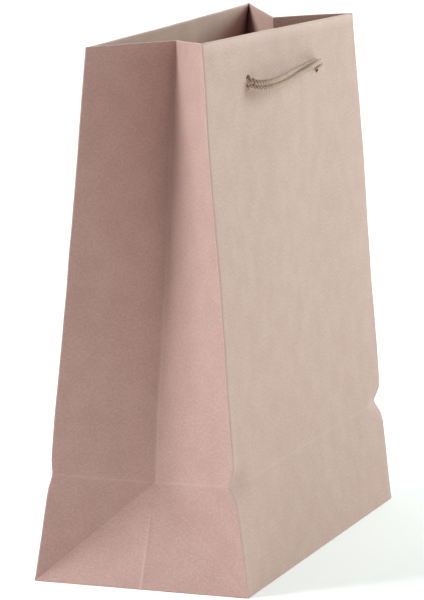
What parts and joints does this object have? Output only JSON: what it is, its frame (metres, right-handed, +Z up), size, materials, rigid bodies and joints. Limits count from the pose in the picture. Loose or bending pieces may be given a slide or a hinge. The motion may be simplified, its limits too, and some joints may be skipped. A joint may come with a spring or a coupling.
{
  "type": "gift bag",
  "caption": "Plain kraft paper gift bag with folding side gussets, stiffened rim and base, and doubled cord handles threaded through punched holes.",
  "frame": {"origin": "middle of the bag's bottom, on the surface it stands on", "axes": "+X along the front face, +Y towards the back face, +Z up"},
  "size_m": [0.225, 0.1, 0.2389],
  "materials": {
    "kraft_paper": "matte unbleached kraft",
    "grey_card": "matte grey board",
    "twisted_cord": "twisted cotton cord"
  },
  "bodies": {
    "foot": {"front_bottom_flap": "kraft_paper", "back_bottom_flap": "kraft_paper", "left_bottom_flap": "kraft_paper", "right_bottom_flap": "kraft_paper", "bottom_card": "grey_card", "front_foot_panel": "kraft_paper", "back_foot_panel": "kraft_paper", "left_base_triangle": "kraft_paper", "right_base_triangle": "kraft_paper", "left_front_corner_facet": "kraft_paper", "left_back_corner_facet": "kraft_paper", "right_front_corner_facet": "kraft_paper", "right_back_corner_facet": "kraft_paper"},
    "front_face": {"front_panel": "kraft_paper", "front_stiffening_card": "grey_card", "front_turned_in_hem": "kraft_paper", "front_left_cord_tail": "twisted_cord", "front_right_cord_tail": "twisted_cord", "front_left_knot": "twisted_cord", "front_right_knot": "twisted_cord"},
    "back_face": {"back_panel": "kraft_paper", "back_stiffening_card": "grey_card", "back_turned_in_hem": "kraft_paper", "back_left_cord_tail": "twisted_cord", "back_right_cord_tail": "twisted_cord", "back_left_knot": "twisted_cord", "back_right_knot": "twisted_cord"},
    "left_front_fold": {"left_gusset_front_half": "kraft_paper", "left_gusset_front_hem": "kraft_paper"},
    "left_back_fold": {"left_gusset_back_half": "kraft_paper", "left_gusset_back_hem": "kraft_paper"},
    "right_front_fold": {"right_gusset_front_half": "kraft_paper", "right_gusset_front_hem": "kraft_paper"},
    "right_back_fold": {"right_gusset_back_half": "kraft_paper", "right_gusset_back_hem": "kraft_paper"},
    "front_handle": {"front_handle_upper_strand": "twisted_cord", "front_handle_lower_strand": "twisted_cord"},
    "back_handle": {"back_handle_upper_strand": "twisted_cord", "back_handle_lower_strand": "twisted_cord"}
  },
  "joints": [
    {"name": "mouth_closing", "type": "hinge", "parent": "foot", "child": "front_face", "pos_m": [0, -0.04352, 0.04857], "axis": [-1, 0, 0], "range_deg": [-2.2, 4.8]},
    {"name": "back_face_lean", "type": "hinge", "parent": "foot", "child": "back_face", "pos_m": [0, 0.04284, 0.04847], "axis": [1, 0, 0], "range_deg": [-2.2, 4.8]},
    {"name": "left_front_crease", "type": "hinge", "parent": "front_face", "child": "left_front_fold", "pos_m": [-0.112, -0.04232, 0.04847], "axis": [0, -0.0845, -0.9964], "range_deg": [-9.5, 20.7]},
    {"name": "left_back_crease", "type": "hinge", "parent": "back_face", "child": "left_back_fold", "pos_m": [-0.112, 0.04165, 0.04837], "axis": [0, -0.0898, 0.996], "range_deg": [-9.5, 20.7]},
    {"name": "right_front_crease", "type": "hinge", "parent": "front_face", "child": "right_front_fold", "pos_m": [0.112, -0.04232, 0.04847], "axis": [0, 0.0845, 0.9964], "range_deg": [-9.5, 20.7]},
    {"name": "right_back_crease", "type": "hinge", "parent": "back_face", "child": "right_back_fold", "pos_m": [0.112, 0.04165, 0.04837], "axis": [0, 0.0898, -0.996], "range_deg": [-9.5, 20.7]},
    {"name": "front_handle_swing", "type": "hinge", "parent": "front_face", "child": "front_handle", "pos_m": [0, -0.03064, 0.21809], "axis": [-1, 0, 0], "range_deg": [-40, 10]},
    {"name": "back_handle_swing", "type": "hinge", "parent": "back_face", "child": "back_handle", "pos_m": [0, 0.02908, 0.21792], "axis": [1, 0, 0], "range_deg": [-40, 10]}
  ],
  "couplings": [
    {"joint": "back_face_lean", "follows": "mouth_closing", "ratio": 1},
    {"joint": "left_front_crease", "follows": "mouth_closing", "ratio": 4.3},
    {"joint": "left_back_crease", "follows": "mouth_closing", "ratio": 4.3},
    {"joint": "right_front_crease", "follows": "mouth_closing", "ratio": 4.3},
    {"joint": "right_back_crease", "follows": "mouth_closing", "ratio": 4.3}
  ]
}
